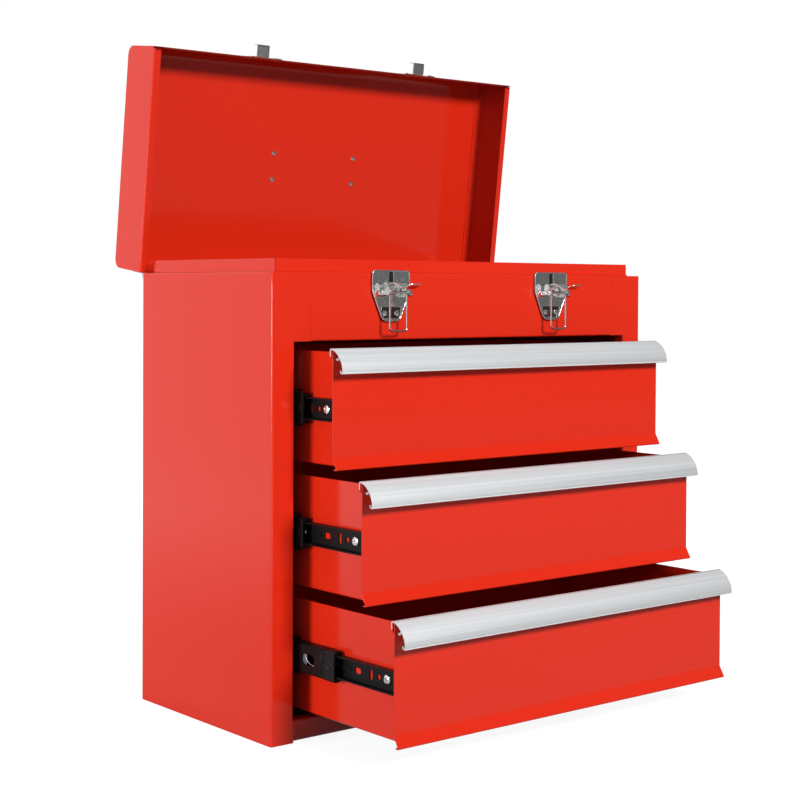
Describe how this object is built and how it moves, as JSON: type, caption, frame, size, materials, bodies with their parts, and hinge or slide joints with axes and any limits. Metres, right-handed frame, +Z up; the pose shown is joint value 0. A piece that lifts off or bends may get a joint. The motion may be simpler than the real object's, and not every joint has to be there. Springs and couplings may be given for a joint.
{
  "type": "portable tool box with drawers",
  "caption": "Steel portable tool box: hinged lid with draw latches and a folding carry handle over an open till, and drawers on telescopic ball slides with full-width pulls.",
  "frame": {"origin": "centre of the underside of the case, on the surface it stands on", "axes": "+Z up, +X to the right as seen from the front, +Y to the back; the drawers open towards -Y"},
  "size_m": [0.508, 0.4593, 0.7022],
  "materials": {
    "red_enamel": "gloss enamel with a light orange peel",
    "pull_strip": "satin, drawn along its length",
    "slide_black": "half-gloss black coat",
    "cage_plastic": "matt black",
    "latch_steel": "nickel plate",
    "screw_steel": "zinc plate",
    "handle_steel": "polished plate",
    "hinge_steel": "plain"
  },
  "bodies": {
    "case": {"left_side_panel": "red_enamel", "right_side_panel": "red_enamel", "back_panel": "red_enamel", "header_panel": "red_enamel", "base_panel": "red_enamel", "till_floor": "red_enamel", "slide_posts": "hinge_steel", "case_hinge_leaf": "hinge_steel", "hinge_pin": "hinge_steel", "case_rivets": "hinge_steel", "latch_plate_left": "latch_steel", "latch_plate_right": "latch_steel", "slide_outer_left_1": "slide_black", "slide_outer_right_1": "slide_black", "slide_outer_left_2": "slide_black", "slide_outer_right_2": "slide_black", "slide_outer_left_3": "slide_black", "slide_outer_right_3": "slide_black"},
    "lid": {"lid_panel": "red_enamel", "lid_left_end": "red_enamel", "lid_right_end": "red_enamel", "lid_hinge_leaf": "hinge_steel", "lid_rivets": "hinge_steel", "lid_catch_left": "latch_steel", "lid_catch_right": "latch_steel", "handle_brackets": "handle_steel"},
    "carry_handle": {"carry_handle": "handle_steel"},
    "drawer_1": {"drawer_tray_1": "red_enamel", "drawer_front_1": "red_enamel", "drawer_pull_1": "pull_strip", "drawer_screws_1": "screw_steel", "slide_inner_left_1": "slide_black", "slide_inner_right_1": "slide_black"},
    "slide_mid_1": {"slide_mid_left_1": "slide_black", "slide_mid_right_1": "slide_black", "slide_cages_1": "cage_plastic"},
    "drawer_2": {"drawer_tray_2": "red_enamel", "drawer_front_2": "red_enamel", "drawer_pull_2": "pull_strip", "drawer_screws_2": "screw_steel", "slide_inner_left_2": "slide_black", "slide_inner_right_2": "slide_black"},
    "slide_mid_2": {"slide_mid_left_2": "slide_black", "slide_mid_right_2": "slide_black", "slide_cages_2": "cage_plastic"},
    "drawer_3": {"drawer_tray_3": "red_enamel", "drawer_front_3": "red_enamel", "drawer_pull_3": "pull_strip", "drawer_screws_3": "screw_steel", "slide_inner_left_3": "slide_black", "slide_inner_right_3": "slide_black"},
    "slide_mid_3": {"slide_mid_left_3": "slide_black", "slide_mid_right_3": "slide_black", "slide_cages_3": "cage_plastic"},
    "latch_lever_left": {"latch_lever_left": "latch_steel"},
    "latch_pin_left": {"latch_pin_left": "latch_steel"},
    "latch_bail_left": {"latch_bail_left": "latch_steel"},
    "latch_lever_right": {"latch_lever_right": "latch_steel"},
    "latch_pin_right": {"latch_pin_right": "latch_steel"},
    "latch_bail_right": {"latch_bail_right": "latch_steel"}
  },
  "joints": [
    {"name": "lid_hinge", "type": "hinge", "parent": "case", "child": "lid", "pos_m": [0, 0.1212, 0.4472], "axis": [1, 0, 0], "range_deg": [0, 83]},
    {"name": "handle_fold", "type": "hinge", "parent": "lid", "child": "carry_handle", "pos_m": [0, 0.16866, 0.57514], "axis": [1, 0, 0], "range_deg": [0, 180]},
    {"name": "drawer_1_slide", "type": "slide", "parent": "case", "child": "drawer_1", "axis": [0, -1, 0], "range_m": [-0.0537, 0.1463]},
    {"name": "slide_mid_1_slide", "type": "slide", "parent": "case", "child": "slide_mid_1", "axis": [0, -1, 0], "range_m": [-0.02685, 0.07315]},
    {"name": "drawer_2_slide", "type": "slide", "parent": "case", "child": "drawer_2", "axis": [0, -1, 0], "range_m": [-0.09835, 0.10165]},
    {"name": "slide_mid_2_slide", "type": "slide", "parent": "case", "child": "slide_mid_2", "axis": [0, -1, 0], "range_m": [-0.04917, 0.05083]},
    {"name": "drawer_3_slide", "type": "slide", "parent": "case", "child": "drawer_3", "axis": [0, -1, 0], "range_m": [-0.1455, 0.0545]},
    {"name": "slide_mid_3_slide", "type": "slide", "parent": "case", "child": "slide_mid_3", "axis": [0, -1, 0], "range_m": [-0.07275, 0.02725]},
    {"name": "lever_left_hinge", "type": "hinge", "parent": "case", "child": "latch_lever_left", "pos_m": [-0.1115, -0.1255, 0.4295], "axis": [1, 0, 0], "range_deg": [-12, 97]},
    {"name": "bail_pin_left_turn", "type": "hinge", "parent": "latch_lever_left", "child": "latch_pin_left", "pos_m": [-0.1115, -0.132, 0.431], "axis": [1, 0, 0], "range_deg": [-97, 12]},
    {"name": "bail_left_swing", "type": "hinge", "parent": "latch_pin_left", "child": "latch_bail_left", "pos_m": [-0.1115, -0.132, 0.431], "axis": [-1, 0, 0], "range_deg": [0, 180]},
    {"name": "lever_right_hinge", "type": "hinge", "parent": "case", "child": "latch_lever_right", "pos_m": [0.1115, -0.1255, 0.4295], "axis": [1, 0, 0], "range_deg": [-12, 97]},
    {"name": "bail_pin_right_turn", "type": "hinge", "parent": "latch_lever_right", "child": "latch_pin_right", "pos_m": [0.1115, -0.132, 0.431], "axis": [1, 0, 0], "range_deg": [-97, 12]},
    {"name": "bail_right_swing", "type": "hinge", "parent": "latch_pin_right", "child": "latch_bail_right", "pos_m": [0.1115, -0.132, 0.431], "axis": [-1, 0, 0], "range_deg": [0, 180]}
  ],
  "couplings": [
    {"joint": "slide_mid_1_slide", "follows": "drawer_1_slide", "ratio": 0.5},
    {"joint": "slide_mid_2_slide", "follows": "drawer_2_slide", "ratio": 0.5},
    {"joint": "slide_mid_3_slide", "follows": "drawer_3_slide", "ratio": 0.5},
    {"joint": "bail_pin_left_turn", "follows": "lever_left_hinge", "ratio": -1},
    {"joint": "bail_pin_right_turn", "follows": "lever_right_hinge", "ratio": -1}
  ]
}
